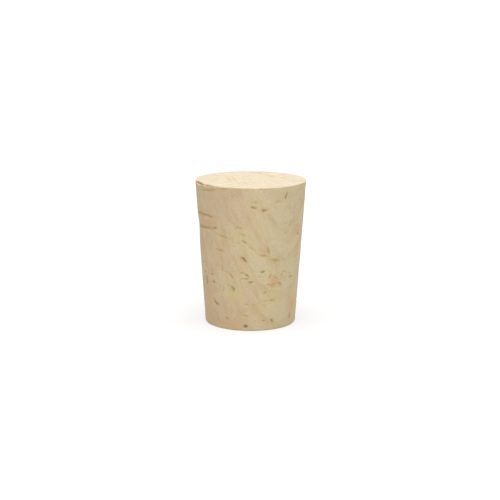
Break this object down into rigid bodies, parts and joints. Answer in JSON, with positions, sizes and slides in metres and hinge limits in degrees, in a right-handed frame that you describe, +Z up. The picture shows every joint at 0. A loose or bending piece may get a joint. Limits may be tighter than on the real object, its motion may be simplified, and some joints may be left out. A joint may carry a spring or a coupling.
{
  "type": "cork stopper",
  "caption": "Tapered natural cork stopper: a solid frustum with a wide top, narrow base, open pores and a chipped top edge, pushed into a bottle or flask neck.",
  "frame": {"origin": "middle of the narrow end, which it stands on", "axes": "+Z up the axis to the wide end, -Y towards the front, +X to the right as seen from the front"},
  "size_m": [0.022, 0.022, 0.0286],
  "materials": {
    "cork": "bare natural cork, ground smooth, dry and matt, with open pores"
  },
  "bodies": {
    "root": {"stopper": "cork"}
  },
  "joints": []
}
